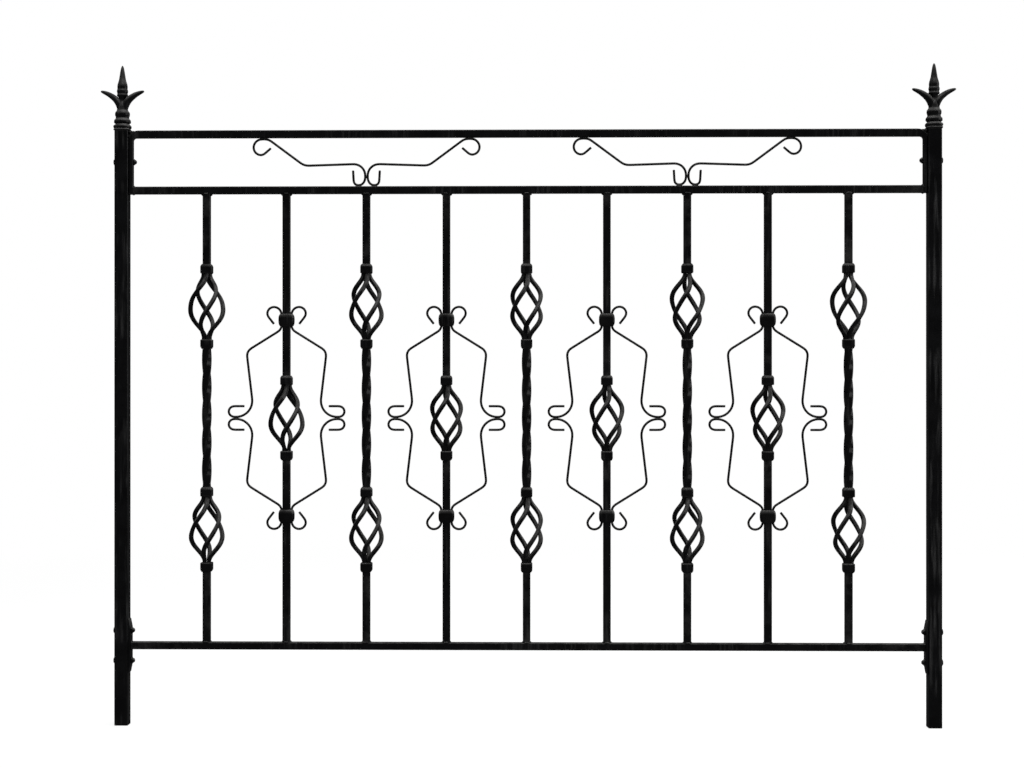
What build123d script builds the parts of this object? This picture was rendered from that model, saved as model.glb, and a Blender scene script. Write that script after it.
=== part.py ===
from build123d import *
from math import ceil, cos, radians, sin, sqrt
import os

# Wrought iron fence panel, in millimetres. X runs along the fence from the left
# post, Y runs from the front to the back, and Z is up. The origin is the centre
# of the left post's foot.

# Posts
post_side = 23.0
post_wall = 1.5
post_corner = 2.0
post_height = 1003.0
post_spacing = 1366.0

# Rails
rail_side = 12.7
bottom_rail_height = 134.0
top_band_height = 101.0
top_leg_thickness = 7.0
top_outer_bend = 16.0
top_inner_bend = 5.0

# Upright bars
bar_side = 12.7
bar_count = 9
bar_pitch = 135.0

# Baskets of four wound rods, and the square collars at their ends
basket_length = 111.0
basket_width = 64.0
basket_turn = 150.0
basket_steps = 8
basket_fullness = 2.6
basket_offset = 188.0
basket_collar_side = 19.5
basket_collar_height = 16.0
basket_collar_chamfer = 2.5
rod_side = 6.8
rod_gap = 0.6
rod_bite = 2.0
upper_turns = (35.0, 55.0, 60.0, 70.0, 80.0)
lower_turns = (55.0, 55.0, 60.0, 45.0, 60.0)
middle_turns = (45.0, 65.0, 70.0, 65.0)

# Twisted middle of the odd bars
twist_turn = 450.0
twist_step = 22.5

# Bent wires, and the clamps that hold the frames to the even bars
wire = 4.0
wire_step = 30.0
weld = 0.3
touch_length = 4.0
clamp_offset = 165.0
clamp_width = 26.5
clamp_height = 21.0
clamp_depth = 17.5
clamp_bulge = 3.0
clamp_flat = 8.0
clamp_fit = 0.2

# Scroll frames, from the middle of their bar
frame_corner_reach = 67.7
frame_corner_height = 112.5
frame_corner_bend = 13.0
frame_waist_reach = 85.0
frame_hip_bend = 27.0
frame_hip_turn = 97.0
frame_leave_bend = 11.0
frame_leave_turn = 57.0
frame_clamp_tail = 16.0
frame_waist_tail = 18.0

# Top scrolls, from the middle of each pair
top_scroll_bars = (3, 7)
top_roof_reach = 171.0
top_roof_length = 6.0
top_knee_reach = 105.0
top_knee_drop = 47.0
top_knee_bend = 20.0
top_mate_bend = 21.0
top_hook_wide = 18.0
top_hook_tight = 8.0
top_hook_bend = 7.5
top_hook_tail = 14.0
top_curl_tail = 15.0

# Lower plates
plate_thickness = 4.0
plate_width = 20.0
plate_length = 90.0
plate_taper = 14.0
plate_edge = 1.0

# Bolts and their domed nuts
bolt_head_width = 9.0
bolt_head_height = 3.0
nut_width = 9.0
nut_height = 3.0
nut_dome = 3.0
nut_dome_slope = 42.0
leg_bolt_drop = 53.0
plate_bolt_offset = 25.5

# Finials, measured up from the top of the post
finial_height = 110.0
finial_sides = 12
finial_cap_side = 26.0
finial_cap_height = 7.0
finial_ring_radius = 14.0
finial_waist_radius = 11.2
finial_bead_radius = 12.3
finial_neck_radius = 9.4
finial_stem_radius = 6.5
finial_band_radius = 9.3
finial_band_height = 60.5
finial_spear_radius = 8.6
finial_tip_radius = 3.0
finial_spigot = 15.0
spigot_fit = 0.2
leaf_reach = 37.0
leaf_height = 65.5

# Places worked out from the sizes above
post_face = post_side / 2
post_bore = post_side - 2 * post_wall
middle = post_spacing / 2
middle_rail_height = post_height - top_band_height
leg_bolt_height = post_height - leg_bolt_drop
bar_bottom = bottom_rail_height + rail_side / 2
bar_top = middle_rail_height - rail_side / 2
pattern_height = (bar_bottom + bar_top) / 2
rod_radius = rod_side / sqrt(2)
rod_start = rod_radius + rod_gap / 2
rod_bulge = basket_width / 2 - rod_radius
unit_half = basket_length / 2 + basket_collar_height
twist_length = 2 * (basket_offset - unit_half)
plate_bolt_heights = (bottom_rail_height - plate_bolt_offset, bottom_rail_height + plate_bolt_offset)

os.makedirs("parts", exist_ok=True)


def bar_place(number):
    return middle + (number - (bar_count + 1) / 2) * bar_pitch


def write(piece, label):
    piece.part.label = label
    export_step(piece.part, f"parts/{label}.step")


# A post is a square tube with rounded corners.
def make_post(label, place):
    with BuildPart() as post:
        with BuildSketch():
            with Locations((place, 0)):
                RectangleRounded(post_side, post_side, post_corner)
                Rectangle(post_bore, post_bore, mode=Mode.SUBTRACT)
        extrude(amount=post_height)
    write(post, label)


# The corners of one of the rings that a finial's turned stem is stacked from.
def finial_ring(place, radius, up):
    corners = []
    for side in range(finial_sides):
        angle = radians(360 * (side + 0.5) / finial_sides)
        corners.append((place + radius * cos(angle), radius * sin(angle), post_height + up))
    return corners


# The corners of a leaf's cross-section: its place out and up, its slope, depth and thickness.
def leaf_corners(place, side, out, up, slope, depth, thickness):
    across = Vector(-sin(radians(slope)), 0, cos(radians(slope))) * (thickness / 2)
    corners = []
    for y in (-depth / 2, depth / 2):
        for edge in (-1, 1):
            x = out + edge * across.X
            z = post_height + up + edge * across.Z
            corners.append((place + side * x, y, z))
    return corners


# A finial is a square cap, a turned stem with a round spear, two side leaves and a spigot.
def make_finial(label, place):
    rings = (
        (finial_ring_radius - 1, finial_cap_height),
        (finial_ring_radius - 1, 10.5),
        (finial_ring_radius, 13),
        (finial_ring_radius, 16.5),
        (finial_waist_radius, 20.5),
        (finial_waist_radius, 22.5),
        (finial_bead_radius, 26),
        (finial_bead_radius, 30),
        (finial_neck_radius, 34),
        (finial_neck_radius, 40),
        (finial_stem_radius, 52),
        (finial_stem_radius, finial_band_height - 2),
        (finial_band_radius, finial_band_height),
        (finial_band_radius, finial_band_height + 6),
        (finial_spear_radius, finial_band_height + 8),
        (finial_spear_radius, finial_band_height + 17),
        (finial_spear_radius - 2.8, finial_band_height + 26),
        (finial_tip_radius, finial_height - 5),
        (0.6, finial_height),
    )
    spigot_side = post_bore - 2 * spigot_fit
    with BuildPart() as finial:
        for (radius, up), (next_radius, next_up) in zip(rings, rings[1:]):
            ConvexPolyhedron(finial_ring(place, radius, up) + finial_ring(place, next_radius, next_up))
        for side in (-1, 1):
            sections = (
                leaf_corners(place, side, 4, 36, 90, 15, 11),
                leaf_corners(place, side, 7.5, 47, 66, 15, 11),
                leaf_corners(place, side, 15.5, 56, 42, 13, 8.5),
                leaf_corners(place, side, leaf_reach - 9, 62, 24, 8, 4.5),
                leaf_corners(place, side, leaf_reach, leaf_height, 18, 2, 1.2),
            )
            for section, next_section in zip(sections, sections[1:]):
                ConvexPolyhedron(section + next_section)
        with BuildSketch(Plane.XY.offset(post_height)):
            with Locations((place, 0)):
                Rectangle(finial_cap_side, finial_cap_side)
        extrude(amount=finial_cap_height, taper=8)
        with BuildSketch(Plane.XY.offset(post_height)):
            with Locations((place, 0)):
                Rectangle(spigot_side, spigot_side)
        extrude(amount=-finial_spigot)
    write(finial, label)


# The top rail is bent down at both ends into flat legs.
def make_top_rail():
    leg_foot = middle_rail_height - rail_side / 2
    rail_length = post_spacing - post_side
    with BuildPart() as rail:
        with BuildSketch(Plane.XZ):
            with BuildLine():
                FilletPolyline(
                    (middle, post_height),
                    (middle + rail_length / 2, post_height),
                    (middle + rail_length / 2, leg_foot),
                    radius=top_outer_bend,
                )
                foot = Line(
                    (middle + rail_length / 2, leg_foot),
                    (middle + rail_length / 2 - top_leg_thickness, leg_foot),
                )
                inner = FilletPolyline(
                    foot @ 1,
                    ((foot @ 1).X, post_height - rail_side),
                    (middle, post_height - rail_side),
                    radius=top_inner_bend,
                )
                Line(inner @ 1, (middle, post_height))
            make_face()
        extrude(amount=rail_side / 2, both=True)
        mirror(about=Plane.YZ.offset(middle))
    write(rail, "top_rail")


def make_straight_rail(label, height, start):
    with BuildPart() as rail:
        with BuildSketch(Plane.YZ.offset(start)):
            with Locations((0, height)):
                Rectangle(rail_side, rail_side)
        extrude(amount=post_spacing - 2 * start)
    write(rail, label)


# The lower plates lie on the posts' inner faces, thin towards both ends and hold the bottom rail.
def make_plates():
    half = plate_length / 2
    with BuildPart() as plates:
        with BuildSketch(Plane.XZ.shift_origin((post_face, 0, bottom_rail_height))):
            with BuildLine():
                Polyline(
                    (0, -half),
                    (plate_edge, -half),
                    (plate_thickness, plate_taper - half),
                    (plate_thickness, half - plate_taper),
                    (plate_edge, half),
                    (0, half),
                    close=True,
                )
            make_face()
        extrude(amount=plate_width / 2, both=True)
        mirror(about=Plane.YZ.offset(middle))
    write(plates, "plates")


# Each bolt shows a hexagon head on a post's outer face and a domed nut on the leg or plate.
def make_bolts():
    stacks = [(leg_bolt_height, post_side + top_leg_thickness)]
    for height in plate_bolt_heights:
        stacks.append((height, post_side + plate_thickness))
    with BuildPart() as bolts:
        for height, stack in stacks:
            outer = Plane(origin=(-post_face, 0, height), x_dir=(0, 1, 0), z_dir=(1, 0, 0))
            with BuildSketch(outer):
                RegularPolygon(bolt_head_width / 2, 6, major_radius=False)
            extrude(amount=-bolt_head_height)
            with BuildSketch(outer.offset(stack)):
                RegularPolygon(nut_width / 2, 6, major_radius=False)
            extrude(amount=nut_height)
            with BuildSketch(outer.offset(stack + nut_height)):
                RegularPolygon(nut_width / 2, 6, major_radius=False)
            extrude(amount=nut_dome, taper=nut_dome_slope)
        mirror(about=Plane.YZ.offset(middle))
    write(bolts, "bolts")


# The centre of a basket's rod at a share of the way up.
def rod_centre(share, turn):
    swell = (1 - abs(2 * share - 1) ** 3) ** basket_fullness
    reach = rod_start + (rod_bulge - rod_start) * swell
    angle = radians(turn + basket_turn * share)
    return Vector(reach * cos(angle), reach * sin(angle), basket_length * (share - 0.5))


# Four rods bulge out and wind to the right, and reach a little way into both collars.
with BuildPart() as basket_rods:
    for turn in (0, 90, 180, 270):
        foot = rod_centre(0, turn) - Vector(0, 0, rod_bite)
        head = rod_centre(1, turn) + Vector(0, 0, rod_bite)
        corners = [rod_centre(step / basket_steps, turn) for step in range(basket_steps + 1)]
        with BuildLine() as path:
            Polyline(foot, *corners, head)
        with BuildSketch(Plane(origin=foot)):
            RegularPolygon(rod_radius, 4, rotation=turn)
        sweep(path=path.wire(), transition=Transition.RIGHT)

# One collar joins a basket to its bar, and is chamfered towards the bar.
with BuildPart() as basket_collar:
    Box(basket_collar_side, basket_collar_side, basket_collar_height)
    bar_end = basket_collar.faces().sort_by(Axis.Z)[-1]
    chamfer(bar_end.edges(), basket_collar_chamfer)


def make_baskets(label, place, centres, turns):
    collar_lift = (basket_length + basket_collar_height) / 2
    with BuildPart() as baskets:
        for centre, turn in zip(centres, turns):
            height = pattern_height + centre
            with Locations((place, 0, height)):
                add(basket_rods.part, rotation=(0, 0, turn))
            with Locations((place, 0, height + collar_lift)):
                add(basket_collar.part)
            with Locations((place, 0, height - collar_lift)):
                add(basket_collar.part, rotation=(180, 0, 0))
    write(baskets, label)


# A straight length of square bar between two heights, inside a sub-part's own block.
def square_length(place, low, high):
    with Locations((place, 0, low)):
        Box(bar_side, bar_side, high - low, align=(Align.CENTER, Align.CENTER, Align.MIN))


# The corners of the square bar at a share of the way up its twisted length.
def twist_corners(share, place):
    height = pattern_height + (share - 0.5) * twist_length
    reach = bar_side / sqrt(2)
    corners = []
    for corner in (45, 135, 225, 315):
        angle = radians(corner + twist_turn * share)
        corners.append((place + reach * cos(angle), reach * sin(angle), height))
    return corners


def make_twisted_bar(label, place):
    steps = ceil(twist_turn / twist_step)
    with BuildPart() as bar:
        square_length(place, bar_bottom, pattern_height - basket_offset - unit_half)
        square_length(place, pattern_height + basket_offset + unit_half, bar_top)
        for step in range(steps):
            low = twist_corners(step / steps, place)
            high = twist_corners((step + 1) / steps, place)
            ConvexPolyhedron(low + high)
    write(bar, label)


def make_plain_bar(label, place):
    with BuildPart() as bar:
        square_length(place, bar_bottom, pattern_height - unit_half)
        square_length(place, pattern_height + unit_half, bar_top)
    write(bar, label)


# A clamp is barrel-shaped in front view, with a slot that fits the bar and both wires.
def make_clamps(label, place):
    half = clamp_width / 2
    top = clamp_height / 2
    with BuildPart() as clamps:
        for centre in (-clamp_offset, clamp_offset):
            with BuildSketch(Plane.XZ.shift_origin((place, 0, pattern_height + centre))):
                with BuildLine():
                    Polyline(
                        (0, -top),
                        (half - clamp_bulge, -top),
                        (half, -clamp_flat / 2),
                        (half, clamp_flat / 2),
                        (half - clamp_bulge, top),
                        (0, top),
                        close=True,
                    )
                make_face()
                mirror(about=Plane.YZ)
            extrude(amount=clamp_depth / 2, both=True)
            with Locations((place, 0, pattern_height + centre)):
                Box(bar_side, bar_side, 2 * clamp_height, mode=Mode.SUBTRACT)
                Box(
                    bar_side + 2 * (wire + clamp_fit),
                    wire + 2 * clamp_fit,
                    2 * clamp_height,
                    mode=Mode.SUBTRACT,
                )
    write(clamps, label)


# A wire goes on from the end of the piece before it, round a bend that turns left for
# a positive angle.
def bend(before, radius, turn):
    return JernArc(before @ 1, before % 1, radius, turn)


# A wire's straight tail, on from the piece before it.
def tail_on(before, length):
    return Line(before @ 1, before @ 1 + (before % 1) * length)


# The corners of a bent wire: one at each end of a straight length, and more round a bend.
def corners_along(path):
    corners = []
    for edge in path.wire().order_edges():
        steps = max(1, ceil((edge % 0).get_angle(edge % 1) / wire_step))
        for step in range(steps):
            corners.append(edge @ (step / steps))
    corners.append(path.wire() @ 1)
    return corners


# One wire of a scroll frame, right of its bar and above the waist: a curl, the stretch in
# the clamp, a rounded corner, the long side, and a curl that is welded to the wire below.
def make_frame_side(label, place, hand):
    run = bar_side / 2 + wire / 2
    above = clamp_offset + clamp_height / 2 - 1
    below = clamp_offset - clamp_height / 2 + 1
    waist_height = wire / 2 - weld
    with BuildLine(Plane.XZ) as path:
        curl = JernArc((run, above), (0, 1), 13, -90)
        curl = bend(curl, 11.5, -90)
        curl = bend(curl, 8, -38)
        tail_on(curl, frame_clamp_tail)
        held = Line((run, above), (run, below))
        leave = bend(held, frame_leave_bend, frame_leave_turn)
        touch = Line((frame_waist_reach, waist_height), (frame_waist_reach + touch_length, waist_height))
        hip = JernArc(touch @ 0, (-1, 0), frame_hip_bend, -frame_hip_turn)
        corner = (frame_corner_reach, frame_corner_height)
        FilletPolyline(leave @ 1, corner, hip @ 1, radius=frame_corner_bend)
        waist = bend(touch, 9.2, 90)
        waist = bend(waist, 9, 90)
        tail_on(waist, frame_waist_tail)
    corners = corners_along(path)
    with BuildPart() as side:
        with BuildLine() as steps:
            Polyline(*corners)
        with BuildSketch(Plane(origin=corners[0], x_dir=(0, 1, 0), z_dir=steps.wire() % 0)):
            Rectangle(wire, wire)
        sweep(path=steps.wire(), transition=Transition.RIGHT)
        mirror(about=Plane.XY)
        if hand < 0:
            mirror(about=Plane.YZ, mode=Mode.REPLACE)
    side.part.locate(Location((place, 0, pattern_height)))
    write(side, label)


# One top scroll, right of its pair's middle: an outer curl that touches the top rail, a
# slope, a level stretch, and a hook that touches its mate and the middle rail.
def make_top_scroll(label, place, hand):
    roof = post_height - rail_side - wire / 2
    floor = middle_rail_height + rail_side / 2 + wire / 2
    tight, wide = 40, 50
    reach = top_hook_tight * sin(radians(tight)) + top_hook_wide * (1 - cos(radians(wide)))
    with BuildLine(Plane.XZ) as path:
        touch = Line((top_roof_reach, roof), (top_roof_reach + top_roof_length, roof))
        curl = bend(touch, 14, -90)
        curl = bend(curl, 13, -90)
        curl = bend(curl, 8, -41)
        tail_on(curl, top_curl_tail)
        slope = JernArc(touch @ 0, (-1, 0), 16, 36.5)
        rest = Line((wire / 2 + reach, floor), (wire / 2 + reach + touch_length, floor))
        hook = JernArc(rest @ 0, (-1, 0), top_hook_tight, -tight)
        hook = bend(hook, top_hook_wide, -wide)
        mate = Line(hook @ 1, hook @ 1 + (hook % 1) * touch_length)
        mate = bend(mate, top_mate_bend, -92)
        knee = (top_knee_reach, roof - top_knee_drop + wire / 2)
        FilletPolyline(slope @ 1, knee, mate @ 1, radius=top_knee_bend)
        tail = bend(rest, top_hook_bend, 85)
        tail_on(tail, top_hook_tail)
    corners = corners_along(path)
    with BuildPart() as scroll:
        with BuildLine() as steps:
            Polyline(*corners)
        with BuildSketch(Plane(origin=corners[0], x_dir=(0, 1, 0), z_dir=steps.wire() % 0)):
            Rectangle(wire, wire)
        sweep(path=steps.wire(), transition=Transition.RIGHT)
        if hand < 0:
            mirror(about=Plane.YZ, mode=Mode.REPLACE)
    scroll.part.locate(Location((place, 0, 0)))
    write(scroll, label)


make_post("left_post", 0)
make_post("right_post", post_spacing)
make_finial("left_finial", 0)
make_finial("right_finial", post_spacing)
make_plates()
make_bolts()
make_top_rail()
make_straight_rail("middle_rail", middle_rail_height, post_face + top_leg_thickness)
make_straight_rail("bottom_rail", bottom_rail_height, post_face + plate_thickness)

for number in range(1, bar_count + 1):
    place = bar_place(number)
    if number % 2:
        make_twisted_bar(f"bar_{number}", place)
        turns = (lower_turns[number // 2], upper_turns[number // 2])
        make_baskets(f"basket_{number}", place, (-basket_offset, basket_offset), turns)
    else:
        make_plain_bar(f"bar_{number}", place)
        make_baskets(f"basket_{number}", place, (0,), (middle_turns[number // 2 - 1],))
        make_clamps(f"clamps_{number}", place)
        for name, hand in (("left", -1), ("right", 1)):
            make_frame_side(f"scroll_{number}_{name}", place, hand)

for number in top_scroll_bars:
    for name, hand in (("left", -1), ("right", 1)):
        make_top_scroll(f"top_scroll_{number}_{name}", bar_place(number), hand)
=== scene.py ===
import math
import random

import bpy
import bmesh
import numpy as np
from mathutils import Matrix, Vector


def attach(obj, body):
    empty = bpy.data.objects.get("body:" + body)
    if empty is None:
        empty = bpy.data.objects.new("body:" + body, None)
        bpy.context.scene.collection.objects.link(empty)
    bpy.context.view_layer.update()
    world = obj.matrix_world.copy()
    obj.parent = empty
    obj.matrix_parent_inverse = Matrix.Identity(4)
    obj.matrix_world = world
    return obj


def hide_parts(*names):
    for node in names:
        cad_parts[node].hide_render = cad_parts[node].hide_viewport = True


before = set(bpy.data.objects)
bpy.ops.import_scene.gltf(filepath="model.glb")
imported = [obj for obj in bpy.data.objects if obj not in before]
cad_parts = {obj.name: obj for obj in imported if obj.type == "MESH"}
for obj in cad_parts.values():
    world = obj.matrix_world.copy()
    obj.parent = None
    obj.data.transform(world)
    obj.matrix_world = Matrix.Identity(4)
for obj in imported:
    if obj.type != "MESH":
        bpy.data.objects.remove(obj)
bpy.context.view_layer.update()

# All sizes of the panel are in millimetres, as in the part's source, and become metres in the meshes.
# The floor, the lamps and the camera are in metres.
MM = 0.001
random.seed(17)

# Posts, rails and bars
POST_SIDE = 23.0
POST_WALL = 1.5
POST_CORNER = 2.2
POST_END_EDGE = 0.35
POST_HEIGHT = 1003.0
POST_SPACING = 1366.0
POST_FACE = POST_SIDE / 2
POST_BORE = POST_SIDE - 2 * POST_WALL
RAIL_SIDE = 12.7
EDGE = 1.8
BOTTOM_RAIL = 134.0
MIDDLE_RAIL = 902.0
LEG_THICKNESS = 7.0
OUTER_BEND = 16.0
INNER_BEND = 5.0
LEG_RING = 960.0
RAIL_RINGS = (100.0, 300.0, 500.0)
RAIL_POINTS = 13
BAR_SIDE = 12.7
BAR_STEP = 60.0
BAR_COUNT = 9
BAR_PITCH = 135.0
MIDDLE = POST_SPACING / 2
BAR_LOW = BOTTOM_RAIL + RAIL_SIDE / 2
BAR_HIGH = MIDDLE_RAIL - RAIL_SIDE / 2
PATTERN = (BAR_LOW + BAR_HIGH) / 2

# Baskets
BASKET_LENGTH = 111.0
BASKET_WIDTH = 64.0
BASKET_TURN = 150.0
BASKET_FULLNESS = 2.6
BASKET_OFFSET = 188.0
COLLAR_SIDE = 19.5
COLLAR_HEIGHT = 16.0
ROD = 6.8
ROD_EDGE = 1.9
ROD_GAP = 0.6
ROD_SINK = 2.0
ROD_POINTS = 61
ROD_START = ROD / math.sqrt(2) + ROD_GAP / 2
ROD_BULGE = BASKET_WIDTH / 2 - ROD / math.sqrt(2)
UNIT_HALF = BASKET_LENGTH / 2 + COLLAR_HEIGHT
UPPER_TURNS = (35, 55, 60, 70, 80)
LOWER_TURNS = (55, 55, 60, 45, 60)
MIDDLE_TURNS = (45, 65, 70, 65)
TWIST_TURN = 450.0
TWIST_SIDE = 13.1
TWIST_EDGE = 2.7
TWIST_STEPS = 150
TWIST_LENGTH = 2 * (BASKET_OFFSET - UNIT_HALF)

# Clamps
CLAMP_OFFSET = 165.0
CLAMP_WIDTH = 26.5
CLAMP_HEIGHT = 21.0
CLAMP_DEPTH = 17.5
CLAMP_SWELL = 9.0
CLAMP_DEPTH_SWELL = 3.4
CLAMP_FULLNESS = 0.96
CLAMP_CORNER = 5.2
CLAMP_RINGS = 25

# Wires. A bend is a radius and a turn in degrees, and a straight length stands alone, as in bends() below.
WIRE = 4.0
WIRE_SIDES = 12
WIRE_STEP = 2.0
WIRE_EASING = 4
WIRE_TIP = 0.8
TIP_ANGLES = (85, 55, 25)
WELD = 0.3
TOUCH = 4.0
CLAMP_CURL = ((13, -90), (11.5, -90), (8, -38), (16,))
WAIST_CURL = ((TOUCH,), (9.2, 90), (9, 90), (18,))
FRAME_LEAVE = (11, 57)
FRAME_HIP = (27, -97)
FRAME_CORNER = (67.7, 112.5)
FRAME_CORNER_BEND = 13.0
FRAME_WAIST = 85.0
TOP_SCROLL_BARS = (3, 7)
ROOF_REACH = 171.0
ROOF_CURL = ((6,), (14, -90), (13, -90), (8, -41), (15,))
ROOF_SLOPE = (16, 36.5)
KNEE_REACH = 105.0
KNEE_DROP = 47.0
KNEE_BEND = 20.0
MATE_BEND = (19, -92)
HOOK_TIGHT = 6.5
HOOK_TIGHT_TURN = 40
HOOK_WIDE = 14.5
HOOK_WIDE_TURN = 50
HOOK_TAIL = ((6.2, 87), (19,))
HOOK_TIGHT_REACH = HOOK_TIGHT * math.sin(math.radians(HOOK_TIGHT_TURN))
HOOK_REACH = HOOK_TIGHT_REACH + HOOK_WIDE * (1 - math.cos(math.radians(HOOK_WIDE_TURN)))

# Plates, bolts and finials
PLATE_THICKNESS = 4.0
PLATE_WIDTH = 20.0
PLATE_LENGTH = 90.0
PLATE_TAPER = 14.0
PLATE_EDGE = 1.0
BOLT_WIDTH = 9.0
BOLT_HEAD = 3.0
NUT_HEIGHT = 3.0
NUT_DOME = 3.0
LEG_BOLT = 950.0
PLATE_BOLTS = (BOTTOM_RAIL - 25.5, BOTTOM_RAIL + 25.5)
CAP_SIDE = 26.0
SPIGOT_PLAY = 0.4
SPIGOT_EDGE = 1.0
SPIGOT_DEPTH = 15.0
LEAF_RINGS = 41
LEAF_SIDES = 28

# Weld beads
RIPPLE_TURN = 6.28
ROOF_WELD = 174.0
MATE_WELD = 16.0

# Paint. A faint coat of high index gives the gloss, so that the black under it stays deep.
COAT_WEIGHT = 0.022
COAT_IOR = 2.0
BLACK = (0.0003, 0.0003, 0.0004)
# Pale runs of the paint, partly painted highlight streaks.
RUN_AND_HIGHLIGHT_COLOUR = (0.022, 0.022, 0.022)
# Rubbed edges: partly wear, partly a painted highlight along the edges.
RUBBED_AND_HIGHLIGHT_COLOUR = (0.02, 0.0195, 0.019)
# Dust on tops: partly dust, partly a painted highlight of the light from above.
DUST_AND_HIGHLIGHT_COLOUR = (0.08, 0.079, 0.077)
RIPPLE_DEPTH = 0.0006
PEEL_DEPTH = 0.0001
PEEL_STRENGTH = 0.25

# Each paint's lighter tone, range of roughness, blur of the coat, grain, dust with painted highlight, and pale runs
# with painted highlight streaks
PAINTS = {
    "bar_paint": ((0.0014, 0.0014, 0.0016), (0.3, 0.6), 0.2, 0.35, 0.5, 0.35),
    "post_paint": ((0.0014, 0.0014, 0.0016), (0.3, 0.5), 0.22, 0.22, 0.6, 0.55),
    "cast_paint": ((0.0016, 0.0016, 0.0017), (0.3, 0.6), 0.22, 0.35, 0.7, 0.3),
    "bolt_paint": ((0.0014, 0.0014, 0.0016), (0.3, 0.6), 0.22, 0.3, 0.6, 0.2),
}


def bar_place(number):
    return MIDDLE + (number - (BAR_COUNT + 1) / 2) * BAR_PITCH


# Materials


def paint(name, light, gloss, coat_blur, grain, dust_and_highlight, run_and_highlight_streaks):
    """Black paint: tone and gloss vary and the coat is rippled; pale runs, rubbed edges and dust on tops are partly
    real runs, wear and dust, partly painted highlight.
    """
    material = bpy.data.materials.new(name)
    material.use_nodes = True
    tree = material.node_tree
    shader = tree.nodes["Principled BSDF"]
    place = tree.nodes.new("ShaderNodeTexCoord")

    def noise(scale, detail=3.0, rough=0.5, upright=1.0):
        stretch = tree.nodes.new("ShaderNodeVectorMath")
        stretch.operation = "MULTIPLY"
        stretch.inputs[1].default_value = (1, 1, upright)
        tree.links.new(place.outputs["Object"], stretch.inputs[0])
        node = tree.nodes.new("ShaderNodeTexNoise")
        node.inputs["Scale"].default_value = scale
        node.inputs["Detail"].default_value = detail
        node.inputs["Roughness"].default_value = rough
        tree.links.new(stretch.outputs["Vector"], node.inputs["Vector"])
        return node.outputs["Fac"]

    def spread(value, low, high, bottom, top):
        node = tree.nodes.new("ShaderNodeMapRange")
        node.inputs["From Min"].default_value = low
        node.inputs["From Max"].default_value = high
        node.inputs["To Min"].default_value = bottom
        node.inputs["To Max"].default_value = top
        tree.links.new(value, node.inputs["Value"])
        return node.outputs["Result"]

    def mix(share, first, second):
        node = tree.nodes.new("ShaderNodeMix")
        node.data_type = "RGBA"
        tree.links.new(share, node.inputs["Factor"])
        for value, socket in ((first, node.inputs[6]), (second, node.inputs[7])):
            if isinstance(value, tuple):
                socket.default_value = (*value, 1)
            else:
                tree.links.new(value, socket)
        return node.outputs[2]

    def times(first, second):
        node = tree.nodes.new("ShaderNodeMath")
        node.operation = "MULTIPLY"
        tree.links.new(first, node.inputs[0])
        tree.links.new(second, node.inputs[1])
        return node.outputs["Value"]

    geometry = tree.nodes.new("ShaderNodeNewGeometry")
    cloud = spread(noise(34, 4), 0.35, 0.65, 0, 1)
    colour = mix(cloud, BLACK, light)
    # Pale vertical runs, partly paint runs and partly painted highlight streaks, strongest on the posts.
    run = spread(noise(150, 3, 0.6, 0.07), 0.5, 0.68, 0, run_and_highlight_streaks)
    colour = mix(times(run, spread(noise(12, 2), 0.45, 0.6, 0, 1)), colour, RUN_AND_HIGHLIGHT_COLOUR)
    # Lighter edges: partly rubbed wear, partly a painted highlight along the edges.
    edge = spread(geometry.outputs["Pointiness"], 0.53, 0.62, 0, 1)
    rubbed_and_highlight = times(edge, spread(noise(45, 4, 0.6), 0.45, 0.65, 0, 0.8))
    colour = mix(rubbed_and_highlight, colour, RUBBED_AND_HIGHLIGHT_COLOUR)
    # Up-facing surfaces turn pale: partly dust, partly a painted highlight of the light from above.
    facing = tree.nodes.new("ShaderNodeSeparateXYZ")
    tree.links.new(geometry.outputs["Normal"], facing.inputs["Vector"])
    upward = spread(facing.outputs["Z"], 0.04, 0.5, 0, 1)
    dust_and_highlight_share = times(upward, spread(noise(70, 4, 0.6), 0.35, 0.6, 0.35 * dust_and_highlight, dust_and_highlight))
    colour = mix(dust_and_highlight_share, colour, DUST_AND_HIGHLIGHT_COLOUR)
    tree.links.new(colour, shader.inputs["Base Color"])

    low, high = gloss
    tree.links.new(spread(noise(60, 4, 0.6), 0.3, 0.7, low, high), shader.inputs["Roughness"])
    shader.inputs["Specular IOR Level"].default_value = 0.0
    shader.inputs["Coat Weight"].default_value = COAT_WEIGHT
    shader.inputs["Coat IOR"].default_value = COAT_IOR
    shader.inputs["Coat Roughness"].default_value = coat_blur

    ripple = tree.nodes.new("ShaderNodeBump")
    ripple.inputs["Strength"].default_value = grain
    ripple.inputs["Distance"].default_value = RIPPLE_DEPTH
    tree.links.new(noise(150, 2), ripple.inputs["Height"])
    peel = tree.nodes.new("ShaderNodeBump")
    peel.inputs["Strength"].default_value = PEEL_STRENGTH
    peel.inputs["Distance"].default_value = PEEL_DEPTH
    tree.links.new(noise(1400, 2), peel.inputs["Height"])
    tree.links.new(ripple.outputs["Normal"], peel.inputs["Normal"])
    tree.links.new(peel.outputs["Normal"], shader.inputs["Normal"])
    tree.links.new(peel.outputs["Normal"], shader.inputs["Coat Normal"])
    return material


SLOTS = {name: paint(name, *settings) for name, settings in PAINTS.items()}


# Mesh tools. Edges that turn more than this many degrees stay sharp.
SHARP_ANGLE = 38


def rounded_rectangle(width, depth, corner, steps=4):
    """Points round a rectangle with rounded corners, as (along, across) pairs."""
    points = []
    for turn, (sx, sy) in enumerate(((1, 1), (-1, 1), (-1, -1), (1, -1))):
        for step in range(steps + 1):
            angle = math.radians(90 * (turn + step / steps))
            points.append((
                sx * (width / 2 - corner) + corner * math.cos(angle),
                sy * (depth / 2 - corner) + corner * math.sin(angle),
            ))
    return np.array(points)


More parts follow.
